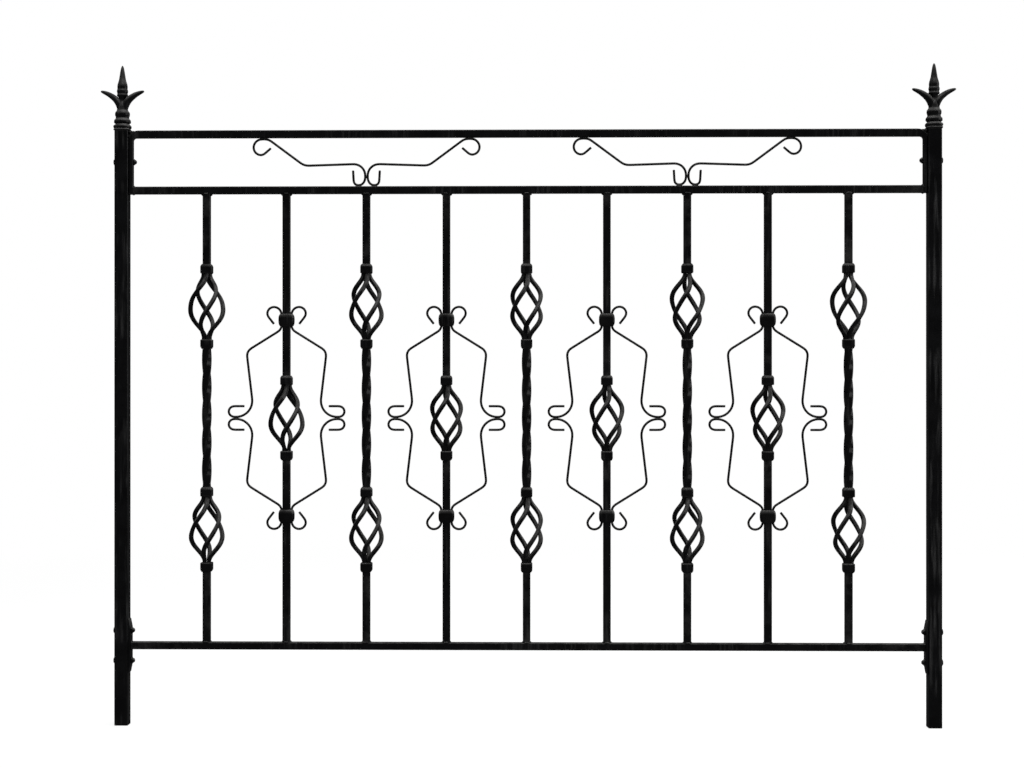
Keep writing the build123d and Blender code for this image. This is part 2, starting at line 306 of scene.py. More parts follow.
def circle(radius, sides):
    angles = np.arange(sides) * 2 * math.pi / sides
    return radius * np.c_[np.cos(angles), np.sin(angles)]


def turned(section, angle):
    """The section turned about its middle by an angle in radians."""
    c, s = math.cos(angle), math.sin(angle)
    return np.c_[section[:, 0] * c - section[:, 1] * s, section[:, 0] * s + section[:, 1] * c]


def level_ring(section, place, height):
    """The section laid level at a height, with its middle at a place along the panel."""
    return np.c_[section[:, 0] + place, section[:, 1], np.full(len(section), height)]


def tangents(path):
    path = np.asarray(path, float)
    steps = np.gradient(path, axis=0)
    return steps / np.linalg.norm(steps, axis=1)[:, None]


def sweep(path, section, side, scale=None, turn=None, tips=0.0):
    """Rings of a section carried along a path. side is the section's first axis, one for all or one each.
    tips is the radius that rounds both ends."""
    path = np.asarray(path, float)
    count = len(path)
    along = tangents(path)
    scale = np.ones(count) if scale is None else np.asarray(scale, float)
    turn = np.zeros(count) if turn is None else np.asarray(turn, float)
    side = np.asarray(side, float)
    side = np.tile(side, (count, 1)) if side.ndim == 1 else side
    if tips:
        reach = np.abs(section).max()
        ends = len(TIP_ANGLES)
        insets = [tips * (1 - math.sin(math.radians(angle))) for angle in TIP_ANGLES]
        sizes = [1 - tips / reach * (1 - math.cos(math.radians(angle))) for angle in TIP_ANGLES]
        heads = [path[0] + along[0] * inset for inset in insets]
        tails = [path[-1] - along[-1] * inset for inset in insets[::-1]]
        path = np.vstack([heads, path[1:-1], tails])
        along = np.vstack([np.tile(along[0], (ends, 1)), along[1:-1], np.tile(along[-1], (ends, 1))])
        side = np.vstack([np.tile(side[0], (ends, 1)), side[1:-1], np.tile(side[-1], (ends, 1))])
        scale = np.r_[np.array(sizes) * scale[0], scale[1:-1], np.array(sizes[::-1]) * scale[-1]]
        turn = np.r_[[turn[0]] * ends, turn[1:-1], [turn[-1]] * ends]
    first = side - (side * along).sum(1)[:, None] * along
    first /= np.linalg.norm(first, axis=1)[:, None]
    second = np.cross(along, first)
    rings = []
    for place, one, two, size, angle in zip(path, first, second, scale, turn):
        u, v = turned(section, angle).T
        rings.append(place + size * (np.outer(u, one) + np.outer(v, two)))
    return np.array(rings)


def skin(rings, closed=False):
    """Vertices and faces of a closed solid through the rings, or of a ring-shaped one."""
    rings = np.asarray(rings, float)
    count, around = rings.shape[:2]
    faces = []
    for ring in range(count if closed else count - 1):
        after = (ring + 1) % count
        for point in range(around):
            beside = (point + 1) % around
            faces.append((
                ring * around + point, ring * around + beside,
                after * around + beside, after * around + point,
            ))
    if not closed:
        faces.append(tuple(range(around))[::-1])
        faces.append(tuple((count - 1) * around + point for point in range(around)))
    return rings.reshape(-1, 3), faces


def lathe(profile, centre, sides=48):
    """A turned solid: profile is (radius, height) pairs."""
    rings = []
    for radius, height in profile:
        ring = circle(radius, sides)
        rings.append(np.c_[ring[:, 0] + centre[0], ring[:, 1] + centre[1], np.full(sides, height + centre[2])])
    return skin(rings)


def piece(name, solids, slot, nodes=(), flat=False):
    """One object of several closed solids, in the frame's metres, riding on the panel."""
    points, faces = [], []
    start = 0
    for solid_points, solid_faces in solids:
        points.append(np.asarray(solid_points) * MM)
        faces += [tuple(start + corner for corner in face) for face in solid_faces]
        start += len(solid_points)
    mesh = bpy.data.meshes.new(name)
    mesh.from_pydata(np.vstack(points).tolist(), [], faces)
    shape = bmesh.new()
    shape.from_mesh(mesh)
    bmesh.ops.recalc_face_normals(shape, faces=shape.faces)
    shape.to_mesh(mesh)
    shape.free()
    mesh.polygons.foreach_set("use_smooth", [True] * len(mesh.polygons))
    mesh.set_sharp_from_angle(angle=math.radians(SHARP_ANGLE))
    made = bpy.data.objects.new(name, mesh)
    bpy.context.scene.collection.objects.link(made)
    mesh.materials.append(SLOTS[slot])
    if flat:
        weighted = made.modifiers.new("flat_faces", "WEIGHTED_NORMAL")
        weighted.keep_sharp = True
    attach(made, "root")
    if nodes:
        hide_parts(*nodes)
    return made


# Plane curves, in X and Z


def arc(start, heading, radius, turn, step=4.0):
    """Points round a bend, its end and its heading there, all in degrees and millimetres."""
    sign = 1 if turn > 0 else -1
    centre = (
        start[0] - sign * radius * math.sin(math.radians(heading)),
        start[1] + sign * radius * math.cos(math.radians(heading)),
    )
    count = max(2, math.ceil(abs(turn) / step))
    points = []
    for index in range(count + 1):
        angle = math.radians(heading - sign * 90 + turn * index / count)
        points.append((centre[0] + radius * math.cos(angle), centre[1] + radius * math.sin(angle)))
    return points, points[-1], heading + turn


def bends(start, heading, moves):
    """Points along straight lengths (length,) and bends (radius, turn), one after the other."""
    points = [start]
    for move in moves:
        if len(move) == 1:
            along = (math.cos(math.radians(heading)), math.sin(math.radians(heading)))
            start = (start[0] + move[0] * along[0], start[1] + move[0] * along[1])
            points.append(start)
        else:
            more, start, heading = arc(start, heading, *move)
            points += more[1:]
    return points, start, heading


def rounded_corner(before, corner, after, radius):
    """Points round a corner between two straight lengths."""
    before, corner, after = (np.array(p, float) for p in (before, corner, after))
    back = (before - corner) / np.linalg.norm(before - corner)
    on = (after - corner) / np.linalg.norm(after - corner)
    half = math.acos(np.clip(back @ on, -1, 1)) / 2
    start = corner + back * radius / math.tan(half)
    turn = math.degrees(math.pi - 2 * half)
    left = (-back[0]) * on[1] - (-back[1]) * on[0] > 0
    heading = math.degrees(math.atan2(-back[1], -back[0]))
    return arc(tuple(start), heading, radius, turn if left else -turn)[0]


def evened(points, spacing):
    """The same line with points an even distance apart."""
    points = np.array(points, float)
    lengths = np.r_[0, np.cumsum(np.linalg.norm(np.diff(points, axis=0), axis=1))]
    keep = np.r_[True, np.diff(lengths) > 1e-6]
    points, lengths = points[keep], lengths[keep]
    count = max(3, round(lengths[-1] / spacing))
    at = np.linspace(0, lengths[-1], count + 1)
    return np.c_[np.interp(at, lengths, points[:, 0]), np.interp(at, lengths, points[:, 1])]


def softened(points, rounds):
    """The line with its bends eased, as a wire bent by hand has no sudden change of curve."""
    points = np.array(points, float)
    for _ in range(rounds):
        points[1:-1] = points[1:-1] * 0.5 + (points[:-2] + points[2:]) * 0.25
    return points


def wire_solid(points, hand, place, height):
    """A round wire along a line in the panel's plane, with cut ends just rounded."""
    line = softened(evened(points, WIRE_STEP), WIRE_EASING)
    path = np.c_[hand * line[:, 0] + place, np.zeros(len(line)), line[:, 1] + height]
    return skin(sweep(path, circle(WIRE / 2, WIRE_SIDES), (0, 1, 0), tips=WIRE_TIP))


# Posts and rails


def make_post(name, place):
    """A square tube whose rings go up its outside, over its rim, down its bore and back under its foot."""
    outer = rounded_rectangle(POST_SIDE, POST_SIDE, POST_CORNER, 5)
    inner = rounded_rectangle(POST_BORE, POST_BORE, POST_CORNER - POST_WALL, 5)
    rim = outer * (1 - POST_END_EDGE / POST_FACE)
    rings = []
    for section, heights in (
        (outer, (POST_END_EDGE, 2.0, 200.0, 400.0, 600.0, 800.0, POST_HEIGHT - 2, POST_HEIGHT - POST_END_EDGE)),
        (rim, (POST_HEIGHT,)),
        (inner, (POST_HEIGHT, POST_HEIGHT - 4, 500.0, 4.0, 0.0)),
        (rim, (0.0,)),
    ):
        rings += [level_ring(section, place, height) for height in heights]
    piece(name + "_tube", [skin(rings, closed=True)], "post_paint", [name], flat=True)


def strip(first, second, depth, edge):
    """A bar of flat section that runs between two lines in the panel's plane."""
    rings = []
    for a, b in zip(first, second):
        a, b = np.array(a, float), np.array(b, float)
        thick = np.linalg.norm(b - a)
        across = (b - a) / thick
        section = rounded_rectangle(thick, depth, min(edge, thick * 0.45, depth * 0.45))
        centre = (a + b) / 2
        rings.append(np.c_[centre[0] + section[:, 0] * across[0], section[:, 1], centre[1] + section[:, 0] * across[1]])
    return np.array(rings)


def make_top_rail():
    """The top rail and its two legs in one piece, each half a row of outer and inner points."""
    outer_x, outer_z = POST_FACE, POST_HEIGHT
    inner_x, inner_z = POST_FACE + LEG_THICKNESS, POST_HEIGHT - RAIL_SIDE
    foot = MIDDLE_RAIL - RAIL_SIDE / 2
    outer_arc = arc((outer_x, outer_z - OUTER_BEND), 90, OUTER_BEND, -90, 10)[0]
    inner_arc = arc((inner_x, inner_z - INNER_BEND), 90, INNER_BEND, -90, 10)[0]
    half = [((outer_x, height), (inner_x, height)) for height in (foot, foot + 2, LEG_RING)]
    half += zip(outer_arc, inner_arc)
    half += [((place, outer_z), (place, inner_z)) for place in (*RAIL_RINGS, MIDDLE)]
    other = [((POST_SPACING - a[0], a[1]), (POST_SPACING - b[0], b[1])) for a, b in half[-2::-1]]
    pairs = half + other
    rings = strip([p[0] for p in pairs], [p[1] for p in pairs], RAIL_SIDE, EDGE)
    piece("top_rail_bar", [skin(rings)], "bar_paint", ["top_rail"], flat=True)


def make_rail(name, height, start):
    places = np.linspace(start, POST_SPACING - start, RAIL_POINTS)
    low = [(x, height - RAIL_SIDE / 2) for x in places]
    high = [(x, height + RAIL_SIDE / 2) for x in places]
    piece(name + "_bar", [skin(strip(low, high, RAIL_SIDE, EDGE))], "bar_paint", [name], flat=True)


def make_plates():
    solids = []
    for hand, face in ((1, POST_FACE), (-1, POST_SPACING - POST_FACE)):
        rings = []
        half = PLATE_LENGTH / 2
        for lift, thick in (
            (-half, PLATE_EDGE), (-half + 0.5, PLATE_EDGE + 0.3), (-half + PLATE_TAPER, PLATE_THICKNESS),
            (-half + PLATE_TAPER + 4, PLATE_THICKNESS), (0, PLATE_THICKNESS),
            (half - PLATE_TAPER - 4, PLATE_THICKNESS), (half - PLATE_TAPER, PLATE_THICKNESS),
            (half - 0.5, PLATE_EDGE + 0.3), (half, PLATE_EDGE),
        ):
            section = rounded_rectangle(thick, PLATE_WIDTH, min(0.8, thick * 0.4))
            height = np.full(len(section), BOTTOM_RAIL + lift)
            rings.append(np.c_[face + hand * (thick / 2 + section[:, 0]), section[:, 1], height])
        solids.append(skin(rings))
    piece("foot_plates", solids, "bar_paint", ["plates"], flat=True)


# Bars, twists and baskets


def bar_rings(low, high, place):
    section = rounded_rectangle(BAR_SIDE, BAR_SIDE, EDGE)
    count = max(2, round((high - low) / BAR_STEP))
    return [level_ring(section, place, height) for height in np.linspace(low, high, count + 1)]


def twist_rings(place):
    section = rounded_rectangle(TWIST_SIDE, TWIST_SIDE, TWIST_EDGE, 6)
    rings = []
    for step in range(TWIST_STEPS + 1):
        share = step / TWIST_STEPS
        height = PATTERN + (share - 0.5) * TWIST_LENGTH
        rings.append(level_ring(turned(section, math.radians(TWIST_TURN * share)), place, height))
    return rings


def collar(place, height, up):
    """A square collar with rounded edges, chamfered towards the bar."""
    rings = []
    half = COLLAR_HEIGHT / 2
    for lift, side, corner in (
        (-half, COLLAR_SIDE - 2.4, 2.0), (-half + 0.6, COLLAR_SIDE - 0.8, 2.2), (-half + 1.6, COLLAR_SIDE, 2.4),
        (-half + 3.0, COLLAR_SIDE, 2.4), (half - 5.0, COLLAR_SIDE, 2.4), (half - 3.4, COLLAR_SIDE - 0.3, 2.6),
        (half - 1.8, COLLAR_SIDE - 1.8, 2.6), (half - 0.5, COLLAR_SIDE - 3.6, 2.2), (half, COLLAR_SIDE - 4.8, 1.6),
    ):
        rings.append(level_ring(rounded_rectangle(side, side, corner), place, height + up * lift))
    return skin(rings)


def rod_path(turn, place, height):
    """The line of one of a basket's rods, run into both collars, and the way out from the middle at each point."""
    shares = np.linspace(0, 1, ROD_POINTS)
    swell = (1 - np.abs(2 * shares - 1) ** 3) ** BASKET_FULLNESS
    reach = ROD_START + (ROD_BULGE - ROD_START) * swell
    angle = np.radians(turn + BASKET_TURN * shares)
    path = np.c_[reach * np.cos(angle) + place, reach * np.sin(angle), height + BASKET_LENGTH * (shares - 0.5)]
    foot = path[0] - (0, 0, ROD_SINK)
    head = path[-1] + (0, 0, ROD_SINK)
    out = np.c_[np.cos(angle), np.sin(angle), np.zeros(len(angle))]
    return np.vstack([foot, path, head]), np.vstack([out[0], out, out[-1]])


def make_baskets(number, centres, turns):
    place = bar_place(number)
    section = rounded_rectangle(ROD, ROD, ROD_EDGE)
    solids = []
    lift = (BASKET_LENGTH + COLLAR_HEIGHT) / 2
    for centre, start in zip(centres, turns):
        height = PATTERN + centre
        for quarter in (0, 90, 180, 270):
            path, out = rod_path(start + quarter, place, height)
            solids.append(skin(sweep(path, section, out, turn=np.full(len(path), math.pi / 4))))
        solids.append(collar(place, height + lift, 1))
        solids.append(collar(place, height - lift, -1))
    piece(f"basket_{number}_rods", solids, "bar_paint", [f"basket_{number}"], flat=True)


def make_bar(number):
    place = bar_place(number)
    if number % 2:
        solids = [
            skin(bar_rings(BAR_LOW, PATTERN - BASKET_OFFSET - UNIT_HALF, place)),
            skin(twist_rings(place)),
            skin(bar_rings(PATTERN + BASKET_OFFSET + UNIT_HALF, BAR_HIGH, place)),
        ]
    else:
        solids = [
            skin(bar_rings(BAR_LOW, PATTERN - UNIT_HALF, place)),
            skin(bar_rings(PATTERN + UNIT_HALF, BAR_HIGH, place)),
        ]
    piece(f"bar_{number}_steel", solids, "bar_paint", [f"bar_{number}"], flat=True)


# Clamps and wires


def make_clamps(number):
    """Barrel-shaped clamps, each pressed round the bar and the wires on both sides."""
    place = bar_place(number)
    solids = []
    for centre in (-CLAMP_OFFSET, CLAMP_OFFSET):
        rings = []
        half = CLAMP_HEIGHT / 2
        for share in np.linspace(-1, 1, CLAMP_RINGS):
            barrel = math.sqrt(1 - abs(share * CLAMP_FULLNESS) ** 3)
            width = CLAMP_WIDTH - CLAMP_SWELL + CLAMP_SWELL * barrel
            depth = CLAMP_DEPTH - CLAMP_DEPTH_SWELL + CLAMP_DEPTH_SWELL * barrel
            section = rounded_rectangle(width, depth, CLAMP_CORNER, 6)
            rings.append(level_ring(section, place, PATTERN + centre + share * half))
        solids.append(skin(rings))
    piece(f"clamp_{number}_bands", solids, "cast_paint", [f"clamps_{number}"])


def frame_line():
    """Half of a frame's side, from its curl at the clamp to its curl at the waist."""
    run = BAR_SIDE / 2 + WIRE / 2
    above = CLAMP_OFFSET + CLAMP_HEIGHT / 2 - 1
    below = CLAMP_OFFSET - CLAMP_HEIGHT / 2 + 1
    waist = WIRE / 2 - WELD
    curl = bends((run, above), 90, CLAMP_CURL)[0]
    held, leave, _ = bends((run, above), -90, ((above - below,), FRAME_LEAVE))
    hip = arc((FRAME_WAIST, waist), 180, *FRAME_HIP)[0]
    corner = rounded_corner(leave, FRAME_CORNER, hip[-1], FRAME_CORNER_BEND)
    tail = bends((FRAME_WAIST, waist), 0, WAIST_CURL)[0]
    return curl[::-1] + held[1:] + corner + hip[::-1] + tail[1:]


def make_frame_wires(number, name, hand):
    place = bar_place(number)
    line = np.array(frame_line())
    solids = []
    for up in (1, -1):
        solids.append(wire_solid(np.c_[line[:, 0], up * line[:, 1]], hand, place, PATTERN))
    piece(f"scroll_{number}_{name}_wires", solids, "bar_paint", [f"scroll_{number}_{name}"])


def top_scroll_line():
    """One top scroll, from its outer curl to the tail of its hook."""
    roof = POST_HEIGHT - RAIL_SIDE - WIRE / 2
    floor = MIDDLE_RAIL + RAIL_SIDE / 2 + WIRE / 2
    foot = (WIRE / 2 + HOOK_REACH + TOUCH, floor)
    curl = bends((ROOF_REACH, roof), 0, ROOF_CURL)[0]
    slope = arc((ROOF_REACH, roof), 180, *ROOF_SLOPE)[0]
    moves = ((TOUCH,), (HOOK_TIGHT, -HOOK_TIGHT_TURN), (HOOK_WIDE, -HOOK_WIDE_TURN), (TOUCH,))
    hook, mate_start, heading = bends(foot, 180, moves)
    more, mate, _ = arc(mate_start, heading, *MATE_BEND)
    knee = rounded_corner(slope[-1], (KNEE_REACH, roof - KNEE_DROP + WIRE / 2), mate, KNEE_BEND)
    tail = bends(foot, 0, HOOK_TAIL)[0]
    return curl[::-1] + slope[1:] + knee + more[::-1] + hook[::-1][1:] + tail[1:]


def make_top_scroll(number, name, hand):
    solid = wire_solid(top_scroll_line(), hand, bar_place(number), 0)
    piece(f"top_scroll_{number}_{name}_wire", [solid], "bar_paint", [f"top_scroll_{number}_{name}"])


# Bolts and finials


def hexagon(width, share, sides=48):
    """A ring that goes from a circle at share 0 to a hexagon at share 1."""
    angles = np.arange(sides) * 2 * math.pi / sides
    off = (angles + math.pi / 6) % (math.pi / 3) - math.pi / 6
    radius = width / 2 * ((1 - share) + share / np.cos(off))
    return np.c_[radius * np.cos(angles), radius * np.sin(angles)]


def bolt_solid(face, height, hand, domed):
    """A hexagon head, or a nut with a dome, on a face that points along the panel."""
    rings = [(0, BOLT_WIDTH, 1), (0.2, BOLT_WIDTH, 1), (2.2, BOLT_WIDTH, 1), (2.7, BOLT_WIDTH - 0.3, 0.7)]
    if domed:
        rings += [(NUT_HEIGHT, BOLT_WIDTH - 1.2, 0.1)]
        for angle in (8, 25, 42, 58, 72, 83):
            lift = NUT_HEIGHT + NUT_DOME * math.sin(math.radians(angle))
            rings.append((lift, (BOLT_WIDTH - 1.2) * math.cos(math.radians(angle)) ** 0.9, 0))
    else:
        rings += [(BOLT_HEAD, BOLT_WIDTH - 1.0, 0.2), (BOLT_HEAD, 2.0, 0)]
    made = []
    for lift, width, share in rings:
        section = hexagon(width, share)
        made.append(np.c_[np.full(len(section), face + hand * lift), section[:, 0], height + section[:, 1]])
    return skin(made)


def make_bolts():
    solids = []
    for hand, near, far in ((1, POST_FACE, -POST_FACE), (-1, POST_SPACING - POST_FACE, POST_SPACING + POST_FACE)):
        solids.append(bolt_solid(near + hand * LEG_THICKNESS, LEG_BOLT, hand, True))
        solids.append(bolt_solid(far, LEG_BOLT, -hand, False))
        for height in PLATE_BOLTS:
            solids.append(bolt_solid(near + hand * PLATE_THICKNESS, height, hand, True))
            solids.append(bolt_solid(far, height, -hand, False))
    piece("bolts_and_nuts", solids, "bolt_paint", ["bolts"])


def leaf_solid(place, hand):
    """A cast leaf with a ridge down its front and back, curling out from the stem to a point."""
    line = np.array([
        (3.0, 33), (4.3, 40.4), (6.6, 46.9), (10.8, 52.9), (16.8, 57.7),
        (22.9, 61.6), (29, 64.3), (34.3, 66.2), (36.5, 66.9),
    ])
    widths = (6.6, 8.2, 8.4, 7.9, 6.8, 5.2, 3.6, 2.1, 1.0)
    thicks = (4.6, 5.2, 5.6, 5.4, 4.8, 4.1, 3.3, 2.3, 1.2)
    at = np.linspace(0, 1, len(line))
    fine = np.linspace(0, 1, LEAF_RINGS)
    smooth = softened(np.c_[np.interp(fine, at, line[:, 0]), np.interp(fine, at, line[:, 1])], 3)
    widths = softened(np.c_[fine, np.interp(fine, at, widths)], 3)[:, 1]
    thicks = softened(np.c_[fine, np.interp(fine, at, thicks)], 3)[:, 1]
    path = np.c_[smooth[:, 0], np.zeros(LEAF_RINGS), smooth[:, 1]]
    along = tangents(path)
    angles = np.arange(LEAF_SIDES) * 2 * math.pi / LEAF_SIDES
    rings = []
    for spot, run, wide, thick in zip(path, along, widths, thicks):
        across = np.array((-run[2], 0, run[0]))
        u = np.sign(np.cos(angles)) * np.abs(np.cos(angles)) ** 0.75 * wide
        v = np.sign(np.sin(angles)) * np.abs(np.sin(angles)) ** 0.7 * thick
        rings.append(spot + np.outer(u, (0, 1, 0)) + np.outer(v, across))
    rings = np.array(rings)
    rings[:, :, 0] = place + hand * rings[:, :, 0]
    rings[:, :, 2] += POST_HEIGHT
    return skin(rings)


def cap_solid(place):
    """The cap under a finial: a square foot that swells into a rounded ring and slopes in to the stem."""
    rings = []
    for lift, side, corner in (
        (0, CAP_SIDE - 1.6, 2.2), (0.5, CAP_SIDE - 0.4, 2.6), (1.0, CAP_SIDE, 3.0), (2.2, CAP_SIDE - 0.2, 3.2),
        (2.9, CAP_SIDE - 1.2, 3.6), (3.5, CAP_SIDE - 1.8, 4.4), (3.9, CAP_SIDE - 1.0, 5.6), (4.3, CAP_SIDE + 0.6, 7.0),
        (5.2, CAP_SIDE + 1.8, 8.4), (6.6, CAP_SIDE + 2.4, 9.0), (8.0, CAP_SIDE + 2.2, 9.6), (9.0, CAP_SIDE + 1.2, 10.2),
        (9.8, CAP_SIDE - 0.4, 11.0), (10.6, CAP_SIDE - 2.0, 11.4), (11.6, CAP_SIDE - 3.2, 11.2),
    ):
        rings.append(level_ring(rounded_rectangle(side, side, corner, 8), place, POST_HEIGHT + lift))
    return skin(rings)


def make_finial(name, place):
    """A cap, two leaves, a spigot in the post and a turned stem, whose profile is (radius, height) pairs."""
    profile = (
        (10.6, 9.6), (11.2, 11.2), (12.1, 12.0), (13.2, 12.6), (13.9, 13.4), (14.1, 14.6), (14.0, 16.4),
        (13.7, 17.8), (13.0, 18.8), (12.0, 19.6), (11.3, 20.8), (11.2, 22.2), (11.4, 23.8), (12.0, 25.0), (12.3, 26.4),
        (12.4, 28.0), (12.2, 30.0), (11.5, 31.6), (10.3, 33.0), (9.5, 34.2), (9.2, 36.0), (9.1, 40.0), (8.4, 44.0),
        (6.8, 48.0), (5.9, 51.5), (6.0, 54.5), (6.9, 57.0), (8.6, 58.4), (9.3, 59.2), (9.4, 60.0), (9.0, 61.0),
        (8.6, 62.2), (8.5, 63.2), (8.8, 64.2), (9.2, 65.2), (9.35, 66.6), (9.2, 68.0), (8.9, 69.2), (8.5, 70.2),
        (8.45, 71.2), (8.6, 72.8), (8.5, 76.0), (7.9, 79.2),
        (6.9, 82.4), (5.9, 86.0), (5.2, 90.0), (4.5, 94.5), (3.8, 99.0), (3.1, 103.0), (2.3, 106.5),
        (1.5, 108.6), (0.8, 109.6), (0.3, 110.0),
    )
    spigot = rounded_rectangle(POST_BORE - SPIGOT_PLAY, POST_BORE - SPIGOT_PLAY, SPIGOT_EDGE)
    below = [level_ring(spigot, place, height) for height in (POST_HEIGHT - SPIGOT_DEPTH, POST_HEIGHT + 2)]
    solids = [lathe(profile, (place, 0, POST_HEIGHT)), cap_solid(place), skin(below)]
    solids += [leaf_solid(place, 1), leaf_solid(place, -1)]
    piece(name + "_cast", solids, "cast_paint", [name])


# Weld beads


def bead(start, end, radius, lumps=3):
    """A weld bead from one point to another: uneven, with the ripples of its run."""
    start, end = np.array(start, float), np.array(end, float)
    length = np.linalg.norm(end - start)
    count = max(9, round(length / 0.6))
    shares = np.linspace(0, 1, count)
    ends = np.clip(np.minimum(shares, 1 - shares) * length / radius, 0, 1)
    dome = np.sqrt(np.clip(1 - (1 - ends) ** 2, 0.02, 1))
    phase = random.uniform(0, RIPPLE_TURN)
    uneven = np.array([random.uniform(-0.06, 0.06) for _ in shares])
    ripple = 1 + 0.1 * np.sin(shares * lumps * RIPPLE_TURN + phase) + uneven
    path = start + np.outer(shares, end - start)
    direction = (end - start) / length
    helper = (0, 0, 1) if abs(direction[2]) < 0.9 else (1, 0, 0)
    return skin(sweep(path, circle(radius, 10), helper, scale=dome * ripple))


def make_rail_welds():
    solids = []
    half = BAR_SIDE / 2
    for number in range(1, BAR_COUNT + 1):
        place = bar_place(number)
        for height, up in ((BAR_HIGH, -1), (BAR_LOW, 1)):
            for hand in (-1, 1):
                size = random.uniform(1.9, 2.5) if up < 0 else random.uniform(1.2, 1.7)
                x = place + hand * (half + size * 0.15)
                z = height + up * size * 0.15
                solids.append(bead((x, -half + 1.2, z), (x, half - 1.2, z), size))
            reach = random.uniform(3.6, 5.4)
            drift = random.uniform(-1.2, 1.2)
            for face in (-1, 1):
                y = face * (half - 0.5)
                solids.append(bead((place - reach + drift, y, height), (place + reach + drift, y, height), 1.7))
    for hand, face in ((1, POST_FACE), (-1, POST_SPACING - POST_FACE)):
        for out, down, size in ((3.0, 3.2, 3.4), (7.6, 2.6, 2.2)):
            x, z = face + hand * out, POST_HEIGHT - down
            solids.append(bead((x, -half + 1.0, z), (x, half - 1.0, z), size))
        x = face + hand * (LEG_THICKNESS + 0.4)
        for z in (MIDDLE_RAIL + RAIL_SIDE / 2 + 0.3, MIDDLE_RAIL - RAIL_SIDE / 2 + 0.5):
            solids.append(bead((x, -half + 1.5, z), (x, half - 1.5, z), 1.9))
        x = face + hand * (PLATE_THICKNESS + 0.3)
        for z in (BOTTOM_RAIL + half + 0.2, BOTTOM_RAIL - half - 0.2):
            solids.append(bead((x, -half + 1.5, z), (x, half - 1.5, z), 1.7))
    piece("rail_welds", solids, "bar_paint")


def make_wire_welds():
    solids = []
    for number in range(2, BAR_COUNT, 2):
        place = bar_place(number)
        for hand in (-1, 1):
            x = place + hand * (FRAME_WAIST + TOUCH / 2)
            solids.append(bead((x - 2.6, -0.6, PATTERN), (x + 2.6, 0.4, PATTERN), 1.6, 1))
    roof = POST_HEIGHT - RAIL_SIDE
    floor = MIDDLE_RAIL + RAIL_SIDE / 2
    for number in TOP_SCROLL_BARS:
        place = bar_place(number)
        for hand in (-1, 1):
            x = place + hand * ROOF_WELD
            solids.append(bead((x - 2.4, 0.6, roof - 0.6), (x + 2.4, -0.4, roof - 0.6), 1.5, 1))
            x = place + hand * (WIRE / 2 + HOOK_REACH + TOUCH / 2)
            solids.append(bead((x - 5.0, -0.5, floor + 1.2), (x + 5.0, 0.5, floor + 1.2), 2.8, 1))
        z = floor + MATE_WELD
        solids.append(bead((place, -0.5, z - 2.5), (place, 0.4, z + 2.5), 1.5, 1))
    piece("wire_welds", solids, "bar_paint")


make_post("left_post", 0)
make_post("right_post", POST_SPACING)
make_finial("left_finial", 0)
make_finial("right_finial", POST_SPACING)
make_top_rail()
make_rail("middle_rail", MIDDLE_RAIL, POST_FACE + LEG_THICKNESS)
make_rail("bottom_rail", BOTTOM_RAIL, POST_FACE + PLATE_THICKNESS)
make_plates()
make_bolts()
for number in range(1, BAR_COUNT + 1):
    make_bar(number)
    if number % 2:
        turns = (LOWER_TURNS[number // 2], UPPER_TURNS[number // 2])
        make_baskets(number, (-BASKET_OFFSET, BASKET_OFFSET), turns)
    else:
        make_baskets(number, (0,), (MIDDLE_TURNS[number // 2 - 1],))
        make_clamps(number)
        make_frame_wires(number, "left", -1)
        make_frame_wires(number, "right", 1)
for number in TOP_SCROLL_BARS:
    make_top_scroll(number, "left", -1)
    make_top_scroll(number, "right", 1)
make_rail_welds()
make_wire_welds()

# Floor, world and light. The white's share grows between these distances from the foot of the panel's middle.
WHITE_NEAR = 1.2
WHITE_FAR = 3.5


def white_for_views(tree, plain, near):
    """The plain shader, mixed for camera, glossy and transmission rays with the white that the caller links in.
    near is the white's share beside the panel, and far from it the white takes over."""
    paths = tree.nodes.new("ShaderNodeLightPath")
    either = tree.nodes.new("ShaderNodeMath")
    either.operation = "MAXIMUM"
    tree.links.new(paths.outputs["Is Camera Ray"], either.inputs[0])
    tree.links.new(paths.outputs["Is Glossy Ray"], either.inputs[1])
    any_of = tree.nodes.new("ShaderNodeMath")
    any_of.operation = "MAXIMUM"
    tree.links.new(either.outputs["Value"], any_of.inputs[0])
    tree.links.new(paths.outputs["Is Transmission Ray"], any_of.inputs[1])
    share = tree.nodes.new("ShaderNodeMath")
    share.operation = "MULTIPLY"
    place = tree.nodes.new("ShaderNodeTexCoord")
    away = tree.nodes.new("ShaderNodeVectorMath")
    away.operation = "DISTANCE"
    away.inputs[1].default_value = (MIDDLE * MM, 0, 0)
    level = tree.nodes.new("ShaderNodeMapRange")
    level.inputs["From Min"].default_value = WHITE_NEAR
    level.inputs["From Max"].default_value = WHITE_FAR
    level.inputs["To Min"].default_value = near
    level.inputs["To Max"].default_value = 1.0
    tree.links.new(place.outputs["Object"], away.inputs[0])
    tree.links.new(away.outputs["Value"], level.inputs["Value"])
    tree.links.new(level.outputs["Result"], share.inputs[1])
    tree.links.new(any_of.outputs["Value"], share.inputs[0])
    blend = tree.nodes.new("ShaderNodeMixShader")
    tree.links.new(share.outputs["Value"], blend.inputs["Fac"])
    tree.links.new(plain, blend.inputs[1])
    return blend


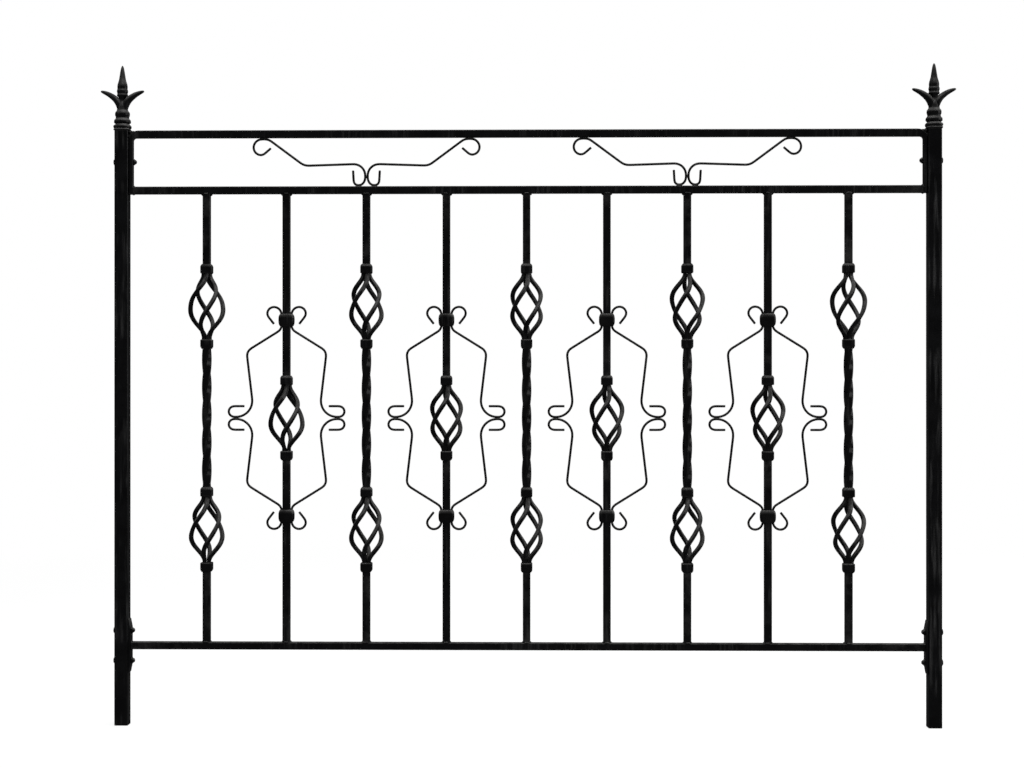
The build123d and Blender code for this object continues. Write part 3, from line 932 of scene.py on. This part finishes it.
floor_material = bpy.data.materials.new("floor")
floor_material.use_nodes = True
tree = floor_material.node_tree
surface = tree.nodes["Principled BSDF"]
surface.inputs["Base Color"].default_value = (0.9, 0.9, 0.9, 1)
surface.inputs["Roughness"].default_value = 0.8
surface.inputs["Specular IOR Level"].default_value = 0.1
glow = tree.nodes.new("ShaderNodeEmission")
glow.inputs["Strength"].default_value = 1.0
blend = white_for_views(tree, surface.outputs["BSDF"], 0.85)
tree.links.new(glow.outputs["Emission"], blend.inputs[2])
tree.links.new(blend.outputs["Shader"], tree.nodes["Material Output"].inputs["Surface"])
FLOOR_REACH = 60.0
floor_corners = [(x * FLOOR_REACH, y * FLOOR_REACH, 0) for x, y in ((-1, -1), (1, -1), (1, 1), (-1, 1))]
floor_mesh = bpy.data.meshes.new("floor")
floor_mesh.from_pydata(floor_corners, [], [(0, 1, 2, 3)])
floor_mesh.materials.append(floor_material)
floor = bpy.data.objects.new("floor", floor_mesh)
bpy.context.scene.collection.objects.link(floor)

world = bpy.data.worlds.new("studio")
bpy.context.scene.world = world
world.use_nodes = True
tree = world.node_tree
room = tree.nodes["Background"]
room.inputs["Color"].default_value = (0.98, 0.99, 1.0, 1)
room.inputs["Strength"].default_value = 0.3
white = tree.nodes.new("ShaderNodeBackground")
white.inputs["Color"].default_value = (1, 1, 1, 1)
white.inputs["Strength"].default_value = 1.0
blend = white_for_views(tree, room.outputs["Background"], 1.0)
tree.links.new(white.outputs["Background"], blend.inputs[2])
tree.links.new(blend.outputs["Shader"], tree.nodes["World Output"].inputs["Surface"])


def softbox(name, place, aim, width, height, brightness):
    """A soft lamp, whose brightness is how many times brighter than white it looks."""
    lamp = bpy.data.lights.new(name, "AREA")
    lamp.shape = "RECTANGLE"
    lamp.size = width
    lamp.size_y = height
    lamp.energy = brightness * math.pi * width * height
    made = bpy.data.objects.new(name, lamp)
    made.location = place
    made.rotation_euler = (Vector(aim) - Vector(place)).to_track_quat("-Z", "Y").to_euler()
    bpy.context.scene.collection.objects.link(made)


LAMP_AIM = (0.68, 0, 0.6)
softbox("key_light", (0.8, -2.1, 3.2), LAMP_AIM, 2.2, 0.8, 15)
softbox("top_light", (0.7, 0.1, 3.5), LAMP_AIM, 2.2, 0.6, 8)
softbox("side_light", (4.1, -0.6, 1.1), LAMP_AIM, 2.2, 1.8, 13)
softbox("rear_side_light", (3.7, 2.2, 1.1), LAMP_AIM, 1.8, 1.8, 9)
softbox("fill_light", (-2.8, -2.2, 1.9), LAMP_AIM, 1.2, 1.2, 4)
softbox("back_light", (0.2, 3.3, 2.9), LAMP_AIM, 2.4, 1.0, 6)

# Camera, fitted to measured points of the photograph by least squares
CAMERA_LENS = 63.25
CAMERA_PLACE = (0.7143, -3.028, 0.5733)
CAMERA_TILT = 90.037
CAMERA_TURN = 1.057
camera_data = bpy.data.cameras.new("camera")
camera_data.sensor_width = 36.0
camera_data.lens = CAMERA_LENS
camera = bpy.data.objects.new("camera", camera_data)
camera.location = CAMERA_PLACE
camera.rotation_euler = (math.radians(CAMERA_TILT), 0, math.radians(CAMERA_TURN))
bpy.context.scene.collection.objects.link(camera)
bpy.context.scene.camera = camera
bpy.context.scene.view_settings.view_transform = "Standard"
